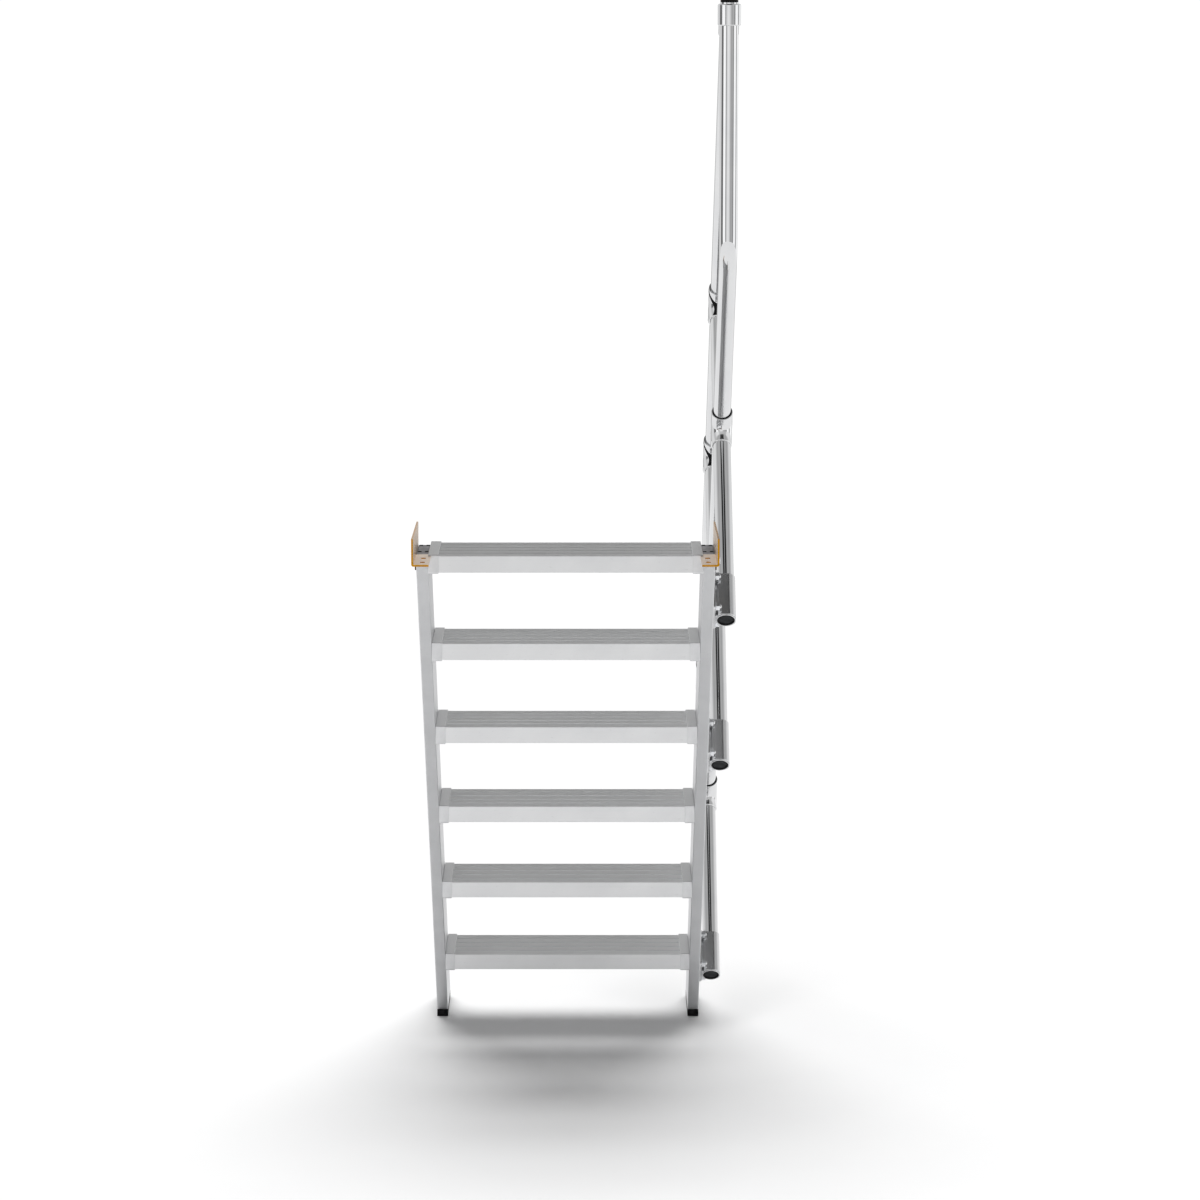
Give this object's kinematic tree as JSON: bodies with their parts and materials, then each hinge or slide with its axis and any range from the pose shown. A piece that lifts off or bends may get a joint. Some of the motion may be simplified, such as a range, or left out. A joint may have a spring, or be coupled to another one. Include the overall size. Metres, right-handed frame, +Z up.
{
  "type": "fixed access stair with one-sided tubular handrail",
  "caption": "Fixed 45 degree aluminium access stair with ribbed treads between two stiles, floor fixing brackets at the top and a tubular handrail on one side.",
  "frame": {"origin": "centre of the base of the bounding box, on the floor that the feet stand on", "axes": "+Z up; +X to the right as seen from the upper floor looking down the stair, towards the handrail; +Y horizontally down the stair, away from the upper floor"},
  "size_m": [0.7214, 2.143, 2.5618],
  "materials": {
    "aluminium": "mill-finish extrusion, satin",
    "cast_aluminium": "blasted casting, matt",
    "polished_tube": "polished",
    "yellow_zinc": "yellow zinc plated",
    "zinc_bolt": "bright zinc plated",
    "grey_plastic": "fine grained moulding",
    "black_plastic": "matt moulding"
  },
  "bodies": {
    "root": {"bracket_bolt_left": "zinc_bolt", "bracket_bolt_right": "zinc_bolt", "bracket_left": "yellow_zinc", "bracket_right": "yellow_zinc", "foot_left": "black_plastic", "foot_right": "black_plastic", "handrail": "polished_tube", "handrail_end_cap": "black_plastic", "handrail_tee_lower": "polished_tube", "handrail_tee_middle": "polished_tube", "handrail_tee_upper": "polished_tube", "knee_fitting_lower": "polished_tube", "knee_fitting_middle": "polished_tube", "knee_fitting_upper": "polished_tube", "knee_rail_end": "polished_tube", "knee_rail_end_cap": "black_plastic", "knee_rail_lower": "polished_tube", "knee_rail_middle": "polished_tube", "knee_rail_upper": "polished_tube", "post_lower": "polished_tube", "post_middle": "polished_tube", "post_sleeve_lower": "polished_tube", "post_sleeve_middle": "polished_tube", "post_sleeve_upper": "polished_tube", "post_upper": "polished_tube", "sleeve_bolt_lower_high": "zinc_bolt", "sleeve_bolt_lower_low": "zinc_bolt", "sleeve_bolt_middle_high": "zinc_bolt", "sleeve_bolt_middle_low": "zinc_bolt", "sleeve_bolt_upper_high": "zinc_bolt", "sleeve_bolt_upper_low": "zinc_bolt", "sleeve_plug_lower": "grey_plastic", "sleeve_plug_middle": "grey_plastic", "sleeve_plug_upper": "grey_plastic", "stile_left": "aluminium", "stile_right": "aluminium", "stile_top_plug_left": "grey_plastic", "stile_top_plug_right": "grey_plastic", "top_cap": "black_plastic", "top_collar": "polished_tube", "tread_1": "aluminium", "tread_1_shoe_left": "cast_aluminium", "tread_1_shoe_right": "cast_aluminium", "tread_2": "aluminium", "tread_2_shoe_left": "cast_aluminium", "tread_2_shoe_right": "cast_aluminium", "tread_3": "aluminium", "tread_3_shoe_left": "cast_aluminium", "tread_3_shoe_right": "cast_aluminium", "tread_4": "aluminium", "tread_4_shoe_left": "cast_aluminium", "tread_4_shoe_right": "cast_aluminium", "tread_5": "aluminium", "tread_5_shoe_left": "cast_aluminium", "tread_5_shoe_right": "cast_aluminium", "tread_6": "aluminium", "tread_6_shoe_left": "cast_aluminium", "tread_6_shoe_right": "cast_aluminium"}
  },
  "joints": []
}
